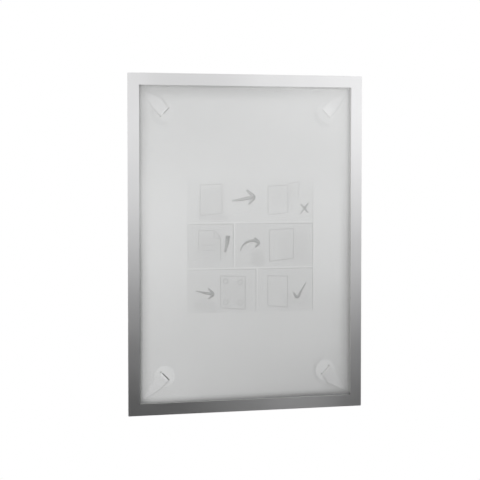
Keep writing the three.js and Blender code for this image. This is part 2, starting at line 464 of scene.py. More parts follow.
def silver_foil(tint):
    """Satin silver foil with a fine pearl grain, a softly uneven tone and soft patches of painted
    reflection and shade.
    """
    finish = Finish("silver_foil")
    pearl = finish.noise(1500.0, 3.0)
    cloud = finish.noise(24.0)
    grain = finish.tones(pearl, tint, 0.955, 1.03)
    foil = finish.mix(cloud.spread(0.0, 0.12), grain, shade(tint, 0.93))
    # Soft patches of painted reflection and shade
    for middle, half, fades, tone in FOIL_PAINTED_REFLECTIONS:
        patch = soft_patch(finish.parts(), (0.0, 0.0), middle, half, fades)
        foil = finish.mix(patch, foil, shade(tint, tone * FOIL_MEAN))
    return finish.done(foil, cloud.spread(0.279, 0.302), (pearl, 0.015, 0.00002), {"Metallic": 1.0})


def window_film(tint):
    """Clear film with a slight matt haze, through which the sheet shows."""
    finish = Finish("window_film")
    ripple = finish.noise(14.0, 1.0)
    dust = finish.noise(900.0)
    tree = finish.tree
    clear = add_node(tree, "ShaderNodeBsdfTransparent")
    gloss = add_node(tree, "ShaderNodeLayerWeight")
    gloss.inputs["Blend"].default_value = 0.12
    haze = Number(tree, gloss.outputs["Fresnel"]).ramp(0.0, 1.0, 0.06, 1.0)
    mix_shaders(tree, haze, clear.outputs["BSDF"], finish.shader.outputs["BSDF"], "Material Output")
    return finish.done((*tint, 1.0), dust.spread(0.24, 0.32), (ripple, 0.05, 0.002), {"Metallic": 0.6})


def magnet_rubber(name, tint, stretch):
    """Magnet strip with fine lines along it. Its coat has painted light, paler higher up, and painted
    shade at the inner mitres.
    """
    finish = Finish(name)
    x, z = finish.parts()
    lines = finish.noise(1.0, 1.0, stretch)
    speck = finish.noise(2600.0)
    from_mitre = abs(abs(x) - BAND_EDGE.x).larger(abs(abs(z) - BAND_EDGE.z))
    # Painted shade at the inner mitres, mostly taken off at the upper right
    high_right = x.ramp(0.0, 0.01, 0.0, 0.8) * z.ramp(0.0, 0.01)
    painted_mitre_shade = from_mitre.ramp(0.0012, 0.0032, 1.0, 0.0) * (1.0 - high_right)
    # Shaded and lit copies of the coat, mixed by height: painted light that is paler higher up
    painted_shaded_coat = finish.tones(speck, tint, 0.6, 1.25)
    painted_lit_coat = finish.tones(speck, tint, 1.55, 1.85)
    coat = finish.mix(z.ramp(-0.16, 0.1), painted_shaded_coat, painted_lit_coat)
    base = finish.mix(painted_mitre_shade, coat, shade(tint, 0.16))
    return finish.done(base, lines.spread(0.55, 0.72), (lines, 0.25, 0.00008))


def strip_shade(x, z):
    """How much light the strips and the border keep from what lies close to them, less higher up."""
    past_side = abs(x) - BAND_EDGE.x
    past_top = z - BAND_EDGE.z
    past_bottom = -BAND_EDGE.z - z
    on_right = x.step(0.01)
    on_left = 1.0 - on_right

    # Beside the upright strips
    open_left = on_left * (z.ramp(-0.03, 0.06, 0.0, 0.5) * z.ramp(0.06, 0.13, 1.0, 0.4))
    open_right = on_right * z.ramp(-0.02, 0.13, 0.0, 0.75)
    by_side = past_side.ramp(-0.018, -0.001, 0.0, 0.39, True) * (1.0 - (open_left + open_right))
    low_left = on_left * z.ramp(0.06, -0.12)
    low_right = on_right * z.ramp(-0.05, -0.14)
    at_side = past_side.ramp(-0.006, 0.0, 0.0, 0.45) * low_left
    side_skirt = past_side.ramp(-0.03, -0.008, 0.0, 0.1) * low_right
    beside = by_side + (at_side + side_skirt)

    # Under the top strip and over the bottom one
    at_top = past_top.ramp(-0.003, 0.0, 1.0, 0.25) * x.ramp(0.0, 0.12, 1.0, 0.5)
    by_top = past_top.ramp(-0.022, -0.003, 0.0, 0.3, True) * at_top
    later = x.ramp(-0.13, 0.11, 0.0012, -0.0012) - x.ramp(-0.147, -0.125, 0.0018, 0.0)
    past_low = past_bottom - later
    by_bottom = past_low.ramp(-0.0105, -0.0005, 0.0, 0.5, True)
    at_bottom = past_low.ramp(-0.0045, 0.0, 0.0, 0.4)
    by_corner = (past_side + past_bottom).ramp(-0.015, -0.002, 0.0, 0.3) * low_left
    low_skirt = past_bottom.ramp(-0.075, -0.01, 0.0, 0.14) * x.ramp(-0.1, 0.11, 0.1, 1.0)
    high_skirt = past_top.ramp(-0.11, -0.02, 0.0, 0.07) * x.ramp(0.08, -0.1)
    ends = by_top.larger(by_bottom + (at_bottom + by_corner)) + (low_skirt + high_skirt)
    return (beside + ends) - beside * ends


def from_pad(x, z):
    """How far a place is from the nearest pad's middle, outwards along X and along Z."""
    return abs(x) - PAD_CENTRE.x, abs(z) - PAD_CENTRE.z


def distance(off_x, off_z):
    """The length of two offsets together."""
    return calculate(off_x.tree, "SQRT", off_x * off_x + off_z * off_z)


def pad_share(x, z):
    """How clearly the pads show through the sheet: most at the lower left, least at the upper right."""
    disc = distance(*from_pad(x, z)).ramp(PAD_RADIUS - 0.0008, PAD_RADIUS + 0.0006, 1.0, 0.0, True)
    lower = z.ramp(-PAD_CENTRE.z, PAD_CENTRE.z, 1.0, 0.2)
    left = x.ramp(-PAD_CENTRE.x, PAD_CENTRE.x, 1.0, 1.15)
    return disc * (lower * left)


def pad_bulge_shade(x, z):
    """Soft shade beside three pads, where the sheet slopes off them: narrow at the lower right."""
    off_x = x - x.ramp(-0.001, 0.001, -PAD_CENTRE.x, PAD_CENTRE.x)
    off_z = z - PAD_CENTRE.z
    out = distance(off_x, off_z)
    ring = out.ramp(0.008, 0.013, smooth=True) * out.ramp(0.014, 0.021, 1.0, 0.0, True)
    lower_left = (off_x + off_z).ramp(-0.016, -0.006, 1.0, 0.0, True)
    upper_share = 0.1
    low_x = x - PAD_CENTRE.x
    low_out = distance(low_x, z + PAD_CENTRE.z)
    rim = low_out.ramp(0.0132, 0.0146, 0.0, 0.16) * low_out.ramp(0.0155, 0.02, 1.0, 0.0)
    return (ring * (lower_left * upper_share)).larger(rim * low_x.ramp(-0.014, -0.002, 1.0, 0.0))


def tab_shade(x, z, sizes):
    """Narrow shade on the sheet along each tail's lifted edge, and a wide wedge at the lower right."""
    off_x, off_z = from_pad(x, z)
    ramp, reach = sizes.tab_ramp_length, sizes.tab_reach
    along = (off_x + off_z) * math.sqrt(0.5)
    across = (off_x - off_z) * math.sqrt(0.5)
    to_right, to_top = x.step(0.001), z.step(0.001)
    low_right = to_right * (1.0 - to_top)

    # How far a place is past the edge of the tail
    lifted_side = (to_right * to_top).ramp(0.0, 1.0, -1.0, 1.0)
    plain_width = along.ramp(ramp, reach, sizes.tab_width / 2, sizes.tab_tip_width / 2)
    shoulder = along.ramp(0.0, ramp, 0.0, TAB_SPREAD).smaller(along.ramp(ramp, reach, TAB_SPREAD, 0.0))
    spread = shoulder * abs(to_right - to_top)
    past = across * lifted_side - plain_width * (spread + 1.0)

    inside = past.ramp(-0.002, -0.001)
    line = (inside * low_right.ramp(0.0, 1.0, 0.2, 0.34)) * past.ramp(0.0, 0.0024, 1.0, 0.0)
    wedge = (inside * low_right) * past.ramp(0.001, 0.014, 0.18, 0.0)
    ends = along.ramp(0.0, 0.006) * along.ramp(0.031, 0.038, 1.0, 0.0)
    return (line * ends).larger(wedge * along.ramp(0.008, 0.015))


def frosted_sheet(colours, sizes):
    """Milky film, paler over the pads and darker where the strips lie against it, with painted shade and
    painted light.
    """
    finish = Finish("frosted_sheet")
    x, z = finish.parts()
    frost = finish.noise(1900.0, 3.0)
    cloud = finish.noise(17.0, 3.0)
    plain = finish.tones(cloud.ramp(0.25, 0.75), colours.sheet, 0.985, 1.015)
    grain = finish.mix(frost.spread(0.0, 0.18), plain, shade(colours.sheet, 0.95))
    # Painted light across the sheet's middle
    middle_height = 0.012
    painted_light_middle = abs(z - middle_height).ramp(0.03, 0.12, 0.52, 0.0, True)
    pale = finish.mix(pad_share(x, z).larger(painted_light_middle), grain, colours.sheet_on_pad_and_painted_light)
    # Painted shadow beside the tabs and pads
    close = tab_shade(x, z, sizes).larger(pad_bulge_shade(x, z))
    shaded = finish.mix(close, pale, colours.sheet_painted_shade)
    # Painted shade beside the strips and the border
    dim = finish.mix(strip_shade(x, z), shaded, colours.sheet_painted_shade)
    # Painted light along a rim under the top strip, stronger towards the right
    rim = (z - BAND_EDGE.z).ramp(-0.0045, -0.0015) * x.ramp(-0.04, 0.07)
    with_painted_rim_light = finish.mix(rim, dim, colours.painted_light_tint)
    past_edge = (abs(x) - BAND_EDGE.x).larger(abs(z) - BAND_EDGE.z)
    base = finish.mix(past_edge.ramp(-0.0004, 0.0006, smooth=True), with_painted_rim_light, colours.sheet_on_strip)
    return finish.done(base, frost.spread(0.5, 0.62), (frost, 0.06, 0.00004))


def adhesive_gel(tint):
    """Milky adhesive gel with small bubbles."""
    finish = Finish("adhesive_gel")
    bubbles = finish.texture(add_node(finish.tree, "ShaderNodeTexVoronoi"), "Distance", Scale=950.0)
    cloud = finish.noise(160.0, 3.0)
    milky = finish.tones(cloud, tint, 0.93, 1.05)
    base = finish.mix(bubbles.ramp(0.05, 0.3, 0.3, 0.0, True), milky, shade(tint, 0.8))
    others = {"Subsurface Weight": 0.25, "Subsurface Scale": 0.001}
    return finish.done(base, cloud.spread(0.26, 0.4), (bubbles, 0.12, 0.0001), others)


def tab_film(colours):
    """White pull-tab film with a faint drawn grain, painted light on its roots, a painted highlight along
    its fold and painted shade beside the strips.
    """
    finish = Finish("tab_film")
    x, z = finish.parts()
    grain = finish.noise(700.0, 3.0)
    cloud = finish.noise(90.0)
    off_x, off_z = from_pad(x, z)
    from_fold = off_x + off_z
    to_right, to_top = x.step(0.05), z.step(0.05)
    # Painted light near each fold, strongest at the upper right, and over the whole of the lower tabs
    on_fold = from_fold.ramp(0.001, 0.004, 1.0, 0.55, True)
    lit = (to_right * to_top).ramp(0.0, 1.0, 0.15, 1.0)
    past_fold = lit * from_fold.ramp(0.008, 0.026, 1.0, 0.0, True)
    painted_root_light = to_top.ramp(0.0, 1.0, 0.38, 0.0).larger(on_fold * past_fold)
    # Painted highlight along the fold, weaker at the right
    nearer_at_top = 0.0018
    on_fold_highlight = (from_fold + to_top * nearer_at_top).ramp(0.0032, 0.0044, 1.0, 0.0)
    painted_fold_highlight = on_fold_highlight * to_right.ramp(0.0, 1.0, 1.0, 0.2)
    plain = finish.tones(cloud, colours.tab, 0.97, 1.03)
    whole = finish.mix(painted_root_light, plain, colours.painted_light_tint)
    pale = finish.mix(painted_fold_highlight, whole, shade(colours.painted_light_tint, 1.08))
    # Painted shade beside the strips
    base = finish.mix(strip_shade(x, z), pale, colours.sheet_painted_shade)
    return finish.done(base, grain.spread(0.26, 0.36), (grain, 0.06, 0.00005), {"Specular IOR Level": 0.8})


def hinge_tape(tint):
    """Woven satin tape of the hinge."""
    finish = Finish("hinge_tape")
    threads = []
    for axis in "XZ":
        wave = add_node(finish.tree, "ShaderNodeTexWave", bands_direction=axis)
        threads.append(finish.texture(wave, "Fac", Scale=420.0, Distortion=0.6))
    weave = threads[0] * threads[1]
    base = finish.tones(weave, tint, 0.9, 1.04)
    return finish.done(base, weave.ramp(0.0, 1.0, 0.5, 0.36), (weave, 0.2, 0.00006))


def slit_shadow(tint, pale):
    """Strip under the slits with painted shadow: full at the bottom, weaker at the upper left and none at
    the upper right.
    """
    finish = Finish("slit_shadow")
    x, z = finish.parts()
    across = x.ramp(-PAD_CENTRE.x, PAD_CENTRE.x, 0.6, 0.0)
    upright = z.ramp(-PAD_CENTRE.z, PAD_CENTRE.z, 1.0, 0.0)
    mottled = finish.tones(finish.noise(900.0), pale, 0.94, 1.0)
    return finish.done(finish.mix(across + upright, mottled, tint), 0.6)


def in_first_row(z, sizes):
    """Whether a place of the print is in its first row."""
    edge = PRINT_CENTRE[1] + sizes.print_height / 6
    soft = 0.001
    return z.ramp(edge - soft, edge + soft)


def print_tint(colours, sizes):
    """Tint of the printed fields, with soft washed-out shades."""
    finish = Finish("print_tint")
    x, z = finish.parts()
    waver = finish.noise(55.0)
    ripple = finish.noise(38.0, 1.0)
    drifted = [place + drift.ramp(0.2, 0.8, -0.006, 0.006) for place, drift in ((x, waver), (z, ripple))]
    shades = 0.0
    for middle, half, fade, share in PRINT_SHADES:
        patch = soft_patch(drifted, PRINT_CENTRE, middle, half, (fade, fade))
        shades = (patch * share).larger(shades)
    fields = finish.mix(in_first_row(z, sizes), colours.tint, colours.pale_tint)
    washed = finish.mix(waver.spread(0.0, 0.12), fields, colours.shade_tint)
    return finish.done(finish.mix(shades, washed, colours.shade_tint), ripple.spread(0.55, 0.68))


def print_ink(name, tint, first_row_tint, worn_tint, sizes):
    """Ink that takes unevenly on the frosted sheet and has another tint in the first row."""
    finish = Finish(name)
    z = finish.parts()[1]
    blotch = finish.noise(320.0, 3.0)
    wear = finish.noise(45.0)
    inks = finish.mix(in_first_row(z, sizes), tint, first_row_tint)
    worn = finish.mix(wear.ramp(0.38, 0.68, 0.0, 0.7), inks, worn_tint)
    base = finish.mix(blotch.spread(0.0, 0.15), worn, worn_tint)
    return finish.done(base, blotch.spread(0.55, 0.68))


def stage_finish(name, tint):
    """A matt card with a faint mottle."""
    finish = Finish(name)
    base = finish.tones(finish.noise(3.0), tint, 0.98, 1.02)
    return finish.done(base, 0.9, others={"Specular IOR Level": 0.0})


# Mesh helpers


def new_piece(name, mesh):
    """A piece at the origin, with its place in its mesh."""
    piece = bpy.data.objects.new(name, mesh)
    bpy.context.scene.collection.objects.link(piece)
    return piece


def mesh_from(name, shape, material):
    """A mesh from a bmesh, smooth but for its sharp edges."""
    sharp_angle = math.radians(35)
    bmesh.ops.recalc_face_normals(shape, faces=shape.faces)
    for face in shape.faces:
        face.smooth = True
    for edge in shape.edges:
        edge.smooth = edge.calc_face_angle(math.pi) < sharp_angle
    mesh = bpy.data.meshes.new(name)
    shape.to_mesh(mesh)
    shape.free()
    mesh.materials.append(material)
    return mesh


def loft(shape, rings):
    """Skins closed rings of points one after the other, with both ends capped."""
    made = [[shape.verts.new(point) for point in ring] for ring in rings]
    for ring, following in zip(made, made[1:]):
        for k, start in enumerate(ring):
            after = (k + 1) % len(ring)
            shape.faces.new((start, ring[after], following[after], following[k]))
    shape.faces.new(made[0])
    shape.faces.new(made[-1])


def prism(shape, outline, depths):
    """A plate from an outline of (x, z) points between two depths."""
    loft(shape, [[(x, depth, z) for x, z in outline] for depth in depths])


def arc(x, y, radius, first, last, steps):
    """Points along an arc about a centre, in degrees."""
    points = []
    for step in range(steps + 1):
        turn = math.radians(first + (last - first) * step / steps)
        points.append((x + radius * math.cos(turn), y + radius * math.sin(turn)))
    return points


def dress(nodes, material):
    """Puts one material on CAD nodes whose shape is right as it is."""
    for name in nodes:
        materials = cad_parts[name].data.materials
        materials.clear()
        materials.append(material)


def add_tree(name, inputs):
    """A Geometry Nodes tree: the tree, its input and output nodes and its named sockets."""
    tree = bpy.data.node_groups.new(name, "GeometryNodeTree")
    sockets = {}
    for label, kind in inputs.items():
        sockets[label] = tree.interface.new_socket(label, in_out="INPUT", socket_type=f"NodeSocket{kind}")
    tree.interface.new_socket("Mesh", in_out="OUTPUT", socket_type="NodeSocketGeometry")
    return tree, add_node(tree, "NodeGroupInput"), add_node(tree, "NodeGroupOutput"), sockets


def end_tree(tree, start, end, last, output):
    """Ends a tree in Realize Instances and Set Material."""
    realize = add_node(tree, "GeometryNodeRealizeInstances")
    finish = add_node(tree, "GeometryNodeSetMaterial")
    wire(
        tree,
        (last, output, realize, "Geometry"),
        (realize, "Geometry", finish, "Geometry"),
        (start, "Finish", finish, "Material"),
        (finish, "Geometry", end, "Mesh"),
    )


def grow(name, source, tree, sockets, values):
    """Runs a tree on a source object and keeps the plain mesh, without source or modifier."""
    bpy.context.scene.collection.objects.link(source)
    modifier = source.modifiers.new("Grow", "NODES")
    modifier.node_group = tree
    for label, value in values.items():
        modifier[sockets[label].identifier] = value
    graph = bpy.context.evaluated_depsgraph_get()
    mesh = bpy.data.meshes.new_from_object(source.evaluated_get(graph), depsgraph=graph)
    if not mesh.polygons:
        raise RuntimeError(f"{name} came out of its tree empty")
    mesh.name = name
    bpy.data.objects.remove(source)
    return mesh


# Shapes


def tab_middle_line(sizes):
    """Stations of a pull tab: along, height over the sheet, heading and width."""
    radius = sizes.tab_bend_radius
    bend = sizes.tab_fold_height - radius
    run = sizes.tab_ramp_length - radius
    drop = sizes.tab_ramp_end - bend
    bend_end = math.atan2(drop, run) + math.acos(radius / math.hypot(drop, run))
    stations = [(0.0, SHEET_LOW.y - SHEET_HIGH.y, math.pi / 2, sizes.tab_width)]
    bend_steps = 14
    for step in range(bend_steps + 1):
        turn = math.pi + (bend_end - math.pi) * step / bend_steps
        along = radius * (1 + math.cos(turn))
        stations.append((along, bend + radius * math.sin(turn), turn - math.pi / 2, sizes.tab_width))

    # From the fold a curve runs down the ramp and levels out to the tip
    ramp = bend_end - math.pi / 2
    taper_start = sizes.tab_ramp_length
    round_start = sizes.tab_reach - sizes.tab_tip_width / 2
    taper_length = round_start - taper_start
    knee = Vector((taper_start, sizes.tab_ramp_end))
    knee_reach = 0.004
    tip = Vector((sizes.tab_reach, TAB_CLEARANCE + sizes.tab_thickness / 2))
    tail_way = (tip - knee).normalized()
    knee_start = knee - Vector((math.cos(ramp), math.sin(ramp))) * knee_reach
    knee_end = knee + tail_way * knee_reach
    taper_end = knee + tail_way * taper_length
    steps = 8
    middle = []
    for t in (step / steps for step in range(steps + 1)):
        middle.append(knee_start.lerp(knee, t).lerp(knee.lerp(knee_end, t), t))
    for step in range(1, steps + 1):
        middle.append(knee_end.lerp(taper_end, step / steps))
    for point, following in zip(middle, middle[1:] + [tip]):
        way = following - point
        share = min(1.0, max(0.0, (point.x - taper_start) / taper_length))
        width = sizes.tab_width + (sizes.tab_tip_width - sizes.tab_width) * share
        stations.append((point.x, point.y, math.atan2(way.y, way.x), width))

    # Rounded tip
    tip_heading = math.atan2(tail_way.y, tail_way.x)
    tip_end = math.radians(84)
    tip_steps = 6
    for step in range(1, tip_steps + 1):
        turn = tip_end * step / tip_steps
        point = taper_end + tail_way * (sizes.tab_tip_width / 2 * math.sin(turn))
        stations.append((point.x, point.y, tip_heading, sizes.tab_tip_width * math.cos(turn)))
    return stations


def tab_mesh(sizes, stand, lifted_side, spread, material):
    """One pull tab along +X, its film towards -Y. Its tail leans, with one side lifted and spread."""
    rings = []
    ramp = sizes.tab_ramp_length
    flat = TAB_CLEARANCE + sizes.tab_thickness / 2
    for along, full_height, heading, width in tab_middle_line(sizes):
        height = flat + (full_height - flat) * stand if full_height > flat else full_height
        off_along = -math.sin(heading) * sizes.tab_thickness / 2
        off_height = math.cos(heading) * sizes.tab_thickness / 2
        clear = max(0.0, height - sizes.tab_thickness)
        eased = min(1.0, max(0.0, along - sizes.tab_bend_radius) / ramp)
        lean = lifted_side * eased * min(2 * clear, width * TAB_LEAN)
        shoulder = min(along / ramp, 1 - (along - ramp) / (sizes.tab_reach - ramp))
        wide = 1 + spread * max(0.0, shoulder)
        ring = [(c, width * c * (wide if c * lifted_side > 0 else 1.0)) for c in TAB_COLUMNS]
        upper = [(along + off_along, -(height + lean * c + off_height), across) for c, across in ring]
        lower = [(along - off_along, -(height + lean * c - off_height), across) for c, across in ring]
        rings.append(upper + lower[::-1])
    shape = bmesh.new()
    loft(shape, rings)
    return mesh_from("pull_tab", shape, material)


def corner_tree():
    """Sets a copy of a piece on each corner point, turned to the corner."""
    inputs = {"Points": "Geometry", "Piece": "Object", "Finish": "Material"}
    tree, start, end, sockets = add_tree("Copies at the corners", inputs)
    piece = add_node(tree, "GeometryNodeObjectInfo", transform_space="ORIGINAL")
    place = add_node(tree, "GeometryNodeInstanceOnPoints")
    turn = add_node(tree, "GeometryNodeInputNamedAttribute", data_type="FLOAT")
    turn.inputs["Name"].default_value = "turn"
    angles = add_node(tree, "ShaderNodeCombineXYZ")
    rotation = add_node(tree, "FunctionNodeEulerToRotation")
    wire(
        tree,
        (start, "Piece", piece, "Object"),
        (start, "Points", place, "Points"),
        (piece, "Geometry", place, "Instance"),
        (turn, "Attribute", angles, "Y"),
        (angles, "Vector", rotation, "Euler"),
        (rotation, "Rotation", place, "Rotation"),
    )
    end_tree(tree, start, end, place, "Instances")
    return tree, sockets


def corner_points(depth, corners):
    """The pad centres of some corners at a depth, each with its turn about the Y axis."""
    mesh = bpy.data.meshes.new("corner_points")
    ways = [CORNERS[corner] for corner in corners]
    mesh.from_pydata([(right * PAD_CENTRE.x, depth, up * PAD_CENTRE.z) for right, up in ways], [], [])
    turns = mesh.attributes.new("turn", "FLOAT", "POINT")
    turns.data.foreach_set("value", [-math.atan2(up, right) for right, up in ways])
    return bpy.data.objects.new("corner_points", mesh)


def at_corners(name, mesh, depth, material, corners=tuple(CORNERS)):
    """Copies of a mesh at some corners as one plain mesh."""
    pattern = new_piece(name + "_pattern", mesh)
    tree, sockets = corner_tree()
    values = {"Piece": pattern, "Finish": material}
    made = grow(name, corner_points(depth, corners), tree, sockets, values)
    bpy.data.objects.remove(pattern)
    return made


def slit_mesh(sizes, material):
    """A strip under a slit, with round ends, that carries the painted shadow in the slit."""
    radius = sizes.slit_width / 2
    half = sizes.slit_length / 2 - radius
    shift = -0.0006
    steps = 10
    outline = arc(shift, half, radius, 0, 180, steps) + arc(shift, -half, radius, 180, 360, steps)
    front, back = -0.00002, 0.00001
    shape = bmesh.new()
    prism(shape, outline, (back, front))
    return mesh_from("slit_strip", shape, material)


def tongue_mesh(sizes, first_share, last_share, gap, material):
    """A slit's tongue between two shares of its length, a gap away from the tab."""
    outer = -sizes.tab_thickness / 2 - gap
    inner = -sizes.tab_thickness / 2 - sizes.tongue_width
    first = sizes.tongue_length * (first_share - 0.5)
    last = sizes.tongue_length * (last_share - 0.5)
    cut = 0.0004
    outline = [
        (inner, first),
        (outer - cut, first),
        (outer, first + cut),
        (outer, last - cut),
        (outer - cut, last),
        (inner, last),
    ]
    thick = (SHEET_HIGH.y - SHEET_LOW.y) * TONGUE_THICKNESS
    shape = bmesh.new()
    prism(shape, outline, (thick, 0.0))
    return mesh_from("slit_tongue", shape, material)


def pad_profile(sizes):
    """Half outline of an adhesive pad: two gel layers with a thin film core that stands back."""
    thick = PAD_HIGH.y - PAD_LOW.y
    rim = sizes.pad_rim
    core_low = thick / 2 - sizes.pad_core / 2
    core_high = thick / 2 + sizes.pad_core / 2
    groove_depth = 0.00018
    groove = PAD_RADIUS - groove_depth
    inner, outer = PAD_RADIUS * 0.35, PAD_RADIUS * 0.8
    steps = 5
    profile = [(inner, 0.0), (outer, 0.0), *arc(PAD_RADIUS - rim, rim, rim, -90, 0, steps)]
    profile += [(PAD_RADIUS, core_low), (groove, core_low), (groove, core_high), (PAD_RADIUS, core_high)]
    profile += arc(PAD_RADIUS - rim, thick - rim, rim, 0, 90, steps)
    return profile + [(outer, thick), (inner, thick)]


def pad_mesh(name, centre, sizes, material):
    """An adhesive pad turned about its own axis, with its back on the wall."""
    segments = 96
    rings = []
    for out, height in pad_profile(sizes):
        circle = arc(centre.x, centre.z, out, 0, 360, segments)[:-1]
        rings.append([(x, PAD_HIGH.y - height, z) for x, z in circle])
    shape = bmesh.new()
    loft(shape, rings)
    return mesh_from(name, shape, material)


def tape_mesh(material):
    """The folded hinge tape from end to end."""
    steps = 10
    fold_drop = 0.0003
    fold_z = REAR_LEAF_HIGH.z - fold_drop
    middle = (REAR_LEAF_LOW.y + FRONT_LEAF_HIGH.y) / 2
    section = [
        (REAR_LEAF_HIGH.y, REAR_LEAF_LOW.z),
        *arc(middle, fold_z, REAR_LEAF_HIGH.y - middle, 0, 180, steps),
        (FRONT_LEAF_LOW.y, FRONT_LEAF_LOW.z),
        (FRONT_LEAF_HIGH.y, FRONT_LEAF_LOW.z),
        *arc(middle, fold_z, REAR_LEAF_LOW.y - middle, 180, 0, steps),
        (REAR_LEAF_LOW.y, REAR_LEAF_LOW.z),
    ]
    shape = bmesh.new()
    loft(shape, [[(x, y, z) for y, z in section] for x in (REAR_LEAF_LOW.x, REAR_LEAF_HIGH.x)])
    return mesh_from("hinge_tape", shape, material)


# Printed steps, in millimetres


def stroke_tree():
    """Draws a flat ink stroke along each path, with rounded corners, on the sheet's front."""
    inputs = {
        "Paths": "Geometry",
        "Width": "Float",
        "Thickness": "Float",
        "Corner": "Float",
        "Place": "Vector",
        "Finish": "Material",
    }
    tree, start, end, sockets = add_tree("Ink stroke along a path", inputs)
    fillet = add_node(tree, "GeometryNodeFilletCurve", mode="POLY")
    fillet.inputs["Count"].default_value = 3
    fillet.inputs["Limit Radius"].default_value = True
    normal = add_node(tree, "GeometryNodeSetCurveNormal", mode="Z_UP")
    nib = add_node(tree, "GeometryNodeCurvePrimitiveQuadrilateral", mode="RECTANGLE")
    swell = add_node(tree, "GeometryNodeInputRadius")
    draw = add_node(tree, "GeometryNodeCurveToMesh")
    draw.inputs["Fill Caps"].default_value = True
    stand = add_node(tree, "GeometryNodeTransform")
    stand.inputs["Rotation"].default_value = (math.pi / 2, 0.0, 0.0)
    wire(
        tree,
        (start, "Paths", fillet, "Curve"),
        (start, "Corner", fillet, "Radius"),
        (fillet, "Curve", normal, "Curve"),
        (start, "Width", nib, "Width"),
        (start, "Thickness", nib, "Height"),
        (normal, "Curve", draw, "Curve"),
        (nib, "Curve", draw, "Profile Curve"),
        (swell, "Radius", draw, "Scale"),
        (draw, "Mesh", stand, "Geometry"),
        (start, "Place", stand, "Translation"),
    )
    end_tree(tree, start, end, stand, "Geometry")
    return tree, sockets


def path_object(name, paths):
    """Open and closed paths as one flat curve object. A point may name its swell."""
    curve = bpy.data.curves.new(name, "CURVE")
    curve.dimensions = "3D"
    for points, closed in paths:
        spline = curve.splines.new("POLY")
        spline.points.add(len(points) - 1)
        for point, (x, y, *swell) in zip(spline.points, points):
            point.co = (x / 1000, y / 1000, 0.0, 1.0)
            point.radius = swell[0] if swell else 1.0
        spline.use_cyclic_u = closed
    return bpy.data.objects.new(name, curve)


def draw_strokes(name, paths, width, corner, lift, sizes, material):
    """Ink strokes along paths, their middle lifted off the sheet's front by a number of ink layers."""
    tree, sockets = stroke_tree()
    depth = SHEET_FRONT - sizes.ink_thickness * lift
    values = {
        "Width": width,
        "Thickness": sizes.ink_thickness * 2,
        "Corner": corner,
        "Place": (PRINT_CENTRE[0], depth, PRINT_CENTRE[1]),
        "Finish": material,
    }
    return grow(name, path_object(name, paths), tree, sockets, values)


def panel_layout(sizes):
    """Fields of the printed steps: lower left corner, width and height."""
    width = sizes.print_width * 1000
    height = sizes.print_height * 1000
    left, low = -width / 2, -height / 2
    gap = 2.0
    row = (height - 2 * gap) / 3
    fields = [(left, low + 2 * (row + gap), width, row)]
    for level, share in ((1, 0.37), (0, 0.55)):
        split = share * width
        y = low + level * (row + gap)
        fields.append((left, y, split - gap / 2, row))
        fields.append((left + split + gap / 2, y, width - split - gap / 2, row))
    return fields


def panel_mesh(sizes, material):
    """Pale tinted fields of the printed steps, as thin plates on the sheet."""
    shape = bmesh.new()
    for x, y, width, height in panel_layout(sizes):
        corners = ((x, y), (x + width, y), (x + width, y + height), (x, y + height))
        outline = [(PRINT_CENTRE[0] + px / 1000, PRINT_CENTRE[1] + py / 1000) for px, py in corners]
        prism(shape, outline, (SHEET_FRONT, SHEET_FRONT - sizes.ink_thickness))
    return mesh_from("print_fields", shape, material)


def border_paths(sizes):
    """Lines along the upper and the right edges of the fields, without the first one's upper edge."""
    paths = []
    edge, inset = 0.6, 3.0
    for field, (x, y, width, height) in enumerate(panel_layout(sizes)):
        top, right = y + height - edge, x + width - edge
        if field == WIDE:
            paths.append(([(right, top - inset, 0.5), (right, y, 0.7)], False))
        else:
            paths.append(([(x + inset, top, 0.5), (right, top), (right, y, 0.7)], False))
    return paths


def open_paths(fields, drawn):
    """Paths drawn in the fields, moved to their places."""
    paths = []
    for field, x, y, points in drawn:
        left, low = fields[field][0] + x, fields[field][1] + y
        paths.append(([(left + px, low + py, *swell) for px, py, *swell in points], False))
    return paths


def outline_paths(sizes):
    """Thin lines: frames, pages and walls of the steps, and discs to press."""
    fields = panel_layout(sizes)
    paths = open_paths(fields, LINES)
    upper_share = 0.4
    for field, x, y, width, height, lean in FRAMES:
        left, low = fields[field][0] + x, fields[field][1] + y
        right, high = left + width, low + height
        upper_right = (right, high + lean * upper_share)
        paths.append(([(left, low), (right, low + lean), upper_right, (left, high)], True))
    for x, y in DISCS:
        disc = arc(fields[PRESS][0] + x, fields[PRESS][1] + y, DISC_RADIUS, *DISC_SWEEP)
        paths.append((disc, True))
    return paths


def mark_paths(sizes):
    """The brushed marks, with the shaft of one arrow as a swelling sweep."""
    steps = 16
    thin, growth = 0.35, 0.75
    sweep = arc(0, 0, SWEEP_RADIUS, *SWEEP_ENDS, steps)
    shaft = [(x, y, thin + growth * k / steps) for k, (x, y) in enumerate(sweep)]
    return open_paths(panel_layout(sizes), (*MARKS, (*SWEEP_PLACE, shaft)))


# Stage


def light_from_all_round(stage):
    """A white world: white to the camera, gloss and glass, and a softer fill on matt surfaces."""
    world = bpy.data.worlds.new("studio_white")
    world.use_nodes = True
    bpy.context.scene.world = world
    tree = world.node_tree
    fill = tree.nodes["Background"]
    white = add_node(tree, "ShaderNodeBackground")
    for light, strength in ((fill, stage.fill), (white, 1.0)):
        light.inputs["Color"].default_value = (1.0, 1.0, 1.0, 1.0)
        light.inputs["Strength"].default_value = strength
    ray = add_node(tree, "ShaderNodeLightPath")
    glossy = calculate(tree, "MAXIMUM", ray.outputs["Is Camera Ray"], ray.outputs["Is Glossy Ray"])
    seen = glossy.larger(ray.outputs["Is Transmission Ray"])
    mix_shaders(tree, seen, fill.outputs["Background"], white.outputs["Background"], "World Output")


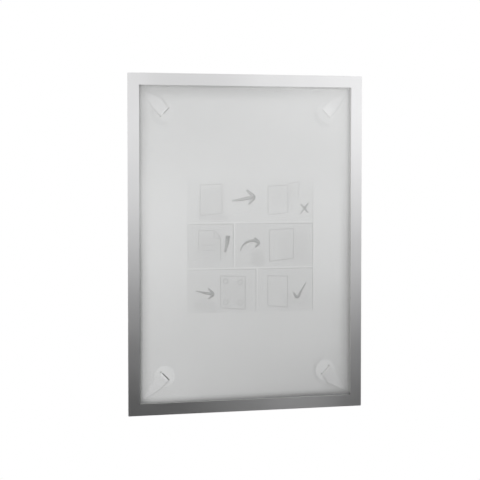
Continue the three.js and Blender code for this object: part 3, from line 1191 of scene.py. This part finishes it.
def flat_card(name, corners, material):
    """A flat four-cornered card of the stage."""
    mesh = bpy.data.meshes.new(name)
    mesh.from_pydata(corners, [], [(0, 1, 2, 3)])
    mesh.materials.append(material)
    card = new_piece(name, mesh)
    return card


def direction(turn, rise):
    """The way out from the frame's middle, at a turn to the right and a rise over the horizon."""
    level = math.cos(rise)
    return Vector((math.sin(turn) * level, -math.cos(turn) * level, math.sin(rise)))


def add_aimed(name, data, place, away):
    """A lamp or camera that looks back along a way."""
    thing = bpy.data.objects.new(name, data)
    thing.location = place
    thing.rotation_euler = (-away).to_track_quat("-Z", "Y").to_euler()
    bpy.context.scene.collection.objects.link(thing)
    return thing


def add_softboxes(stage):
    """Area lamps that are aimed at the frame's middle."""
    for name, (turn, rise, width, height, mirrored) in SOFTBOXES.items():
        data = bpy.data.lights.new(f"{name}_softbox", "AREA")
        data.shape = "RECTANGLE"
        data.size = width
        data.size_y = height
        data.energy = getattr(stage, f"{name}_light")
        away = direction(math.radians(turn), math.radians(rise))
        lamp = add_aimed(f"{name}_softbox", data, away * LAMP_DISTANCE, away)
        lamp.visible_glossy = mirrored


def add_camera(stage):
    """The camera of the photograph's viewing angle."""
    data = bpy.data.cameras.new("camera")
    data.lens = stage.lens
    data.sensor_width = 36.0
    data.clip_start = 0.05
    data.clip_end = 50.0
    target = Vector((CAMERA_TARGET[0], FACE_LOW.y, CAMERA_TARGET[1]))
    away = direction(stage.azimuth, stage.elevation)
    bpy.context.scene.camera = add_aimed("camera", data, target + away * stage.distance, away)


# Operators


def ride_rear(piece, slot, *replaced):
    """A piece that stays on the wall, its finish, which is not used, and the solids that it stands for,
    which are hidden.
    """
    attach(piece, "rear")
    if replaced:
        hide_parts(*replaced)
    return piece


class DOCUMENT_FRAME_OT_silver_face(bpy.types.Operator):
    """Gives the border its satin silver foil"""

    bl_idname = "document_frame.silver_face"
    bl_label = "Silver face"

    def execute(self, context):
        dress(["face_frame"], silver_foil(context.scene.document_frame_colours.foil))
        return {"FINISHED"}


class DOCUMENT_FRAME_OT_window_film(bpy.types.Operator):
    """Makes the window clear, with a slight haze"""

    bl_idname = "document_frame.window_film"
    bl_label = "Window film"

    def execute(self, context):
        dress(["window_film"], window_film(context.scene.document_frame_colours.film))
        return {"FINISHED"}


class DOCUMENT_FRAME_OT_magnet_strips(bpy.types.Operator):
    """Gives the magnet strips their pale grey coat, drawn along each strip"""

    bl_idname = "document_frame.magnet_strips"
    bl_label = "Magnet strips"

    def execute(self, context):
        tint = context.scene.document_frame_colours.rubber
        along, across = 12.0, 2200.0
        level = magnet_rubber("magnet_rubber_level", tint, (along, across, across))
        upright = magnet_rubber("magnet_rubber_upright", tint, (across, across, along))
        for half in ("rear", "front"):
            dress([f"{half}_magnet_top", f"{half}_magnet_bottom"], level)
            dress([f"{half}_magnet_left", f"{half}_magnet_right"], upright)
        return {"FINISHED"}


class DOCUMENT_FRAME_OT_back_sheet(bpy.types.Operator):
    """Gives the back sheet its milky film, and lays the cut tongues in the closed slits"""

    bl_idname = "document_frame.back_sheet"
    bl_label = "Back sheet"

    def execute(self, context):
        sizes = context.scene.document_frame_sizes
        milky = frosted_sheet(context.scene.document_frame_colours, sizes)
        dress(["back_sheet"], milky)
        for corner, (first_share, last_share, gap) in TONGUES.items():
            name = f"slit_tongue_{corner}"
            pattern = tongue_mesh(sizes, first_share, last_share, gap, milky)
            tongue = at_corners(name, pattern, SHEET_FRONT + TONGUE_SUNK, milky, [corner])
            ride_rear(new_piece(name, tongue), "frosted_sheet")
        return {"FINISHED"}


class DOCUMENT_FRAME_OT_adhesive_pads(bpy.types.Operator):
    """Makes the layered adhesive pads and the strips of painted shadow under the slits"""

    bl_idname = "document_frame.adhesive_pads"
    bl_label = "Adhesive pads"

    def execute(self, context):
        sizes = context.scene.document_frame_sizes
        colours = context.scene.document_frame_colours
        gel = adhesive_gel(colours.gel)
        for corner in CORNERS:
            node = f"adhesive_pad_{corner}"
            low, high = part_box(node)
            name = f"adhesive_disc_{corner}"
            ride_rear(new_piece(name, pad_mesh(name, (low + high) / 2, sizes, gel)), "adhesive_gel", node)
        # Strips of painted shadow under the slits
        dark = slit_shadow(colours.slit, colours.gel)
        proud = 0.00002
        strips = at_corners("slit_strips", slit_mesh(sizes, dark), PAD_LOW.y - proud, dark)
        ride_rear(new_piece("slit_strips", strips), "adhesive_gel")
        return {"FINISHED"}


class DOCUMENT_FRAME_OT_pull_tabs(bpy.types.Operator):
    """Makes the folded pull tabs at the four corners"""

    bl_idname = "document_frame.pull_tabs"
    bl_label = "Pull tabs"

    def execute(self, context):
        sizes = context.scene.document_frame_sizes
        film = tab_film(context.scene.document_frame_colours)
        for corner in CORNERS:
            name = f"pull_tab_film_{corner}"
            pattern = tab_mesh(sizes, *TAB_STANDS[corner], film)
            mesh = at_corners(name, pattern, SHEET_FRONT, film, [corner])
            ride_rear(new_piece(name, mesh), "tab_film", f"pull_tab_{corner}")
        return {"FINISHED"}


class DOCUMENT_FRAME_OT_hinge_tape(bpy.types.Operator):
    """Makes the hinge tape as one folded strip"""

    bl_idname = "document_frame.hinge_tape"
    bl_label = "Hinge tape"

    def execute(self, context):
        piece = new_piece("hinge_tape", tape_mesh(hinge_tape(context.scene.document_frame_colours.tape)))
        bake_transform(piece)
        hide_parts("hinge_tape_rear_leaf", "hinge_tape_front_leaf")
        return {"FINISHED"}


class DOCUMENT_FRAME_OT_printed_steps(bpy.types.Operator):
    """Prints the plain mounting steps on the back sheet"""

    bl_idname = "document_frame.printed_steps"
    bl_label = "Printed steps"

    def execute(self, context):
        sizes = context.scene.document_frame_sizes
        colours = context.scene.document_frame_colours
        fields = panel_mesh(sizes, print_tint(colours, sizes))
        pale = print_ink("print_pale_ink", colours.pale_ink, colours.shade_tint, colours.shade_tint, sizes)
        bold = print_ink("print_bold_ink", colours.bold_ink, colours.soft_ink, colours.pale_ink, sizes)
        ride_rear(new_piece("print_fields", fields), "frosted_sheet")
        thin_corner, bold_corner = 0.0012, 0.0025
        strokes = (
            ("print_borders", border_paths(sizes), sizes.thin_stroke, thin_corner, 0.8, pale),
            ("print_lines", outline_paths(sizes), sizes.thin_stroke, thin_corner, 1.0, pale),
            ("print_marks", mark_paths(sizes), sizes.bold_stroke, bold_corner, 1.3, bold),
        )
        for name, paths, width, corner, lift, ink in strokes:
            mesh = draw_strokes(name, paths, width, corner, lift, sizes, ink)
            ride_rear(new_piece(name, mesh), "frosted_sheet")
        return {"FINISHED"}


class DOCUMENT_FRAME_OT_stage(bpy.types.Operator):
    """Sets the floor, lights and camera"""

    bl_idname = "document_frame.stage"
    bl_label = "Stage"

    def execute(self, context):
        stage = context.scene.document_frame_stage
        colours = context.scene.document_frame_colours
        context.scene.view_settings.view_transform = "Standard"
        add_camera(stage)
        light_from_all_round(stage)
        floor_height = -1.1
        reach = 3.2
        ground = [(x * reach, y * reach, floor_height) for x, y in ((-1, -1), (1, -1), (1, 1), (-1, 1))]
        flat_card("floor", ground, stage_finish("studio_floor", colours.floor))
        flag_depth = -1.5
        flag_outline = ((-1.4, -1.05), (2.4, -1.05), (2.4, -0.23), (-1.4, -0.037))
        card = [(x, flag_depth, z) for x, z in flag_outline]
        flag = flat_card("flag", card, stage_finish("studio_flag", colours.flag))
        flag.visible_camera = False
        add_softboxes(stage)
        return {"FINISHED"}


OPERATORS = (
    DOCUMENT_FRAME_OT_silver_face,
    DOCUMENT_FRAME_OT_window_film,
    DOCUMENT_FRAME_OT_magnet_strips,
    DOCUMENT_FRAME_OT_back_sheet,
    DOCUMENT_FRAME_OT_adhesive_pads,
    DOCUMENT_FRAME_OT_pull_tabs,
    DOCUMENT_FRAME_OT_hinge_tape,
    DOCUMENT_FRAME_OT_printed_steps,
    DOCUMENT_FRAME_OT_stage,
)
SETTINGS = {
    "document_frame_sizes": DocumentFrameSizes,
    "document_frame_colours": DocumentFrameColours,
    "document_frame_stage": DocumentFrameStage,
}


class DOCUMENT_FRAME_PT_panel(bpy.types.Panel):
    """Lists the frame's pieces, sizes and colours"""

    bl_idname = "DOCUMENT_FRAME_PT_panel"
    bl_label = "Document frame"
    bl_space_type = "VIEW_3D"
    bl_region_type = "UI"
    bl_category = "Document frame"

    def draw(self, context):
        column = self.layout.column(align=True)
        for operator in OPERATORS:
            column.operator(operator.bl_idname)
        for setting, group in SETTINGS.items():
            box = self.layout.box()
            for name in group.__annotations__:
                box.prop(getattr(context.scene, setting), name)


CLASSES = (*SETTINGS.values(), *OPERATORS, DOCUMENT_FRAME_PT_panel)


def register():
    """Adds the classes and the settings of the scene."""
    for each in CLASSES:
        bpy.utils.register_class(each)
    for setting, group in SETTINGS.items():
        setattr(bpy.types.Scene, setting, PointerProperty(type=group))


def unregister():
    """Takes the settings and the classes out again."""
    for setting in reversed(SETTINGS):
        delattr(bpy.types.Scene, setting)
    for each in reversed(CLASSES):
        bpy.utils.unregister_class(each)


def main():
    """Builds every piece and the stage."""
    register()
    bpy.ops.document_frame.stage()
    bpy.ops.document_frame.silver_face()
    bpy.ops.document_frame.window_film()
    bpy.ops.document_frame.magnet_strips()
    bpy.ops.document_frame.back_sheet()
    bpy.ops.document_frame.adhesive_pads()
    bpy.ops.document_frame.pull_tabs()
    bpy.ops.document_frame.hinge_tape()
    bpy.ops.document_frame.printed_steps()
    bpy.context.view_layer.update()


if __name__ == "__main__":
    main()
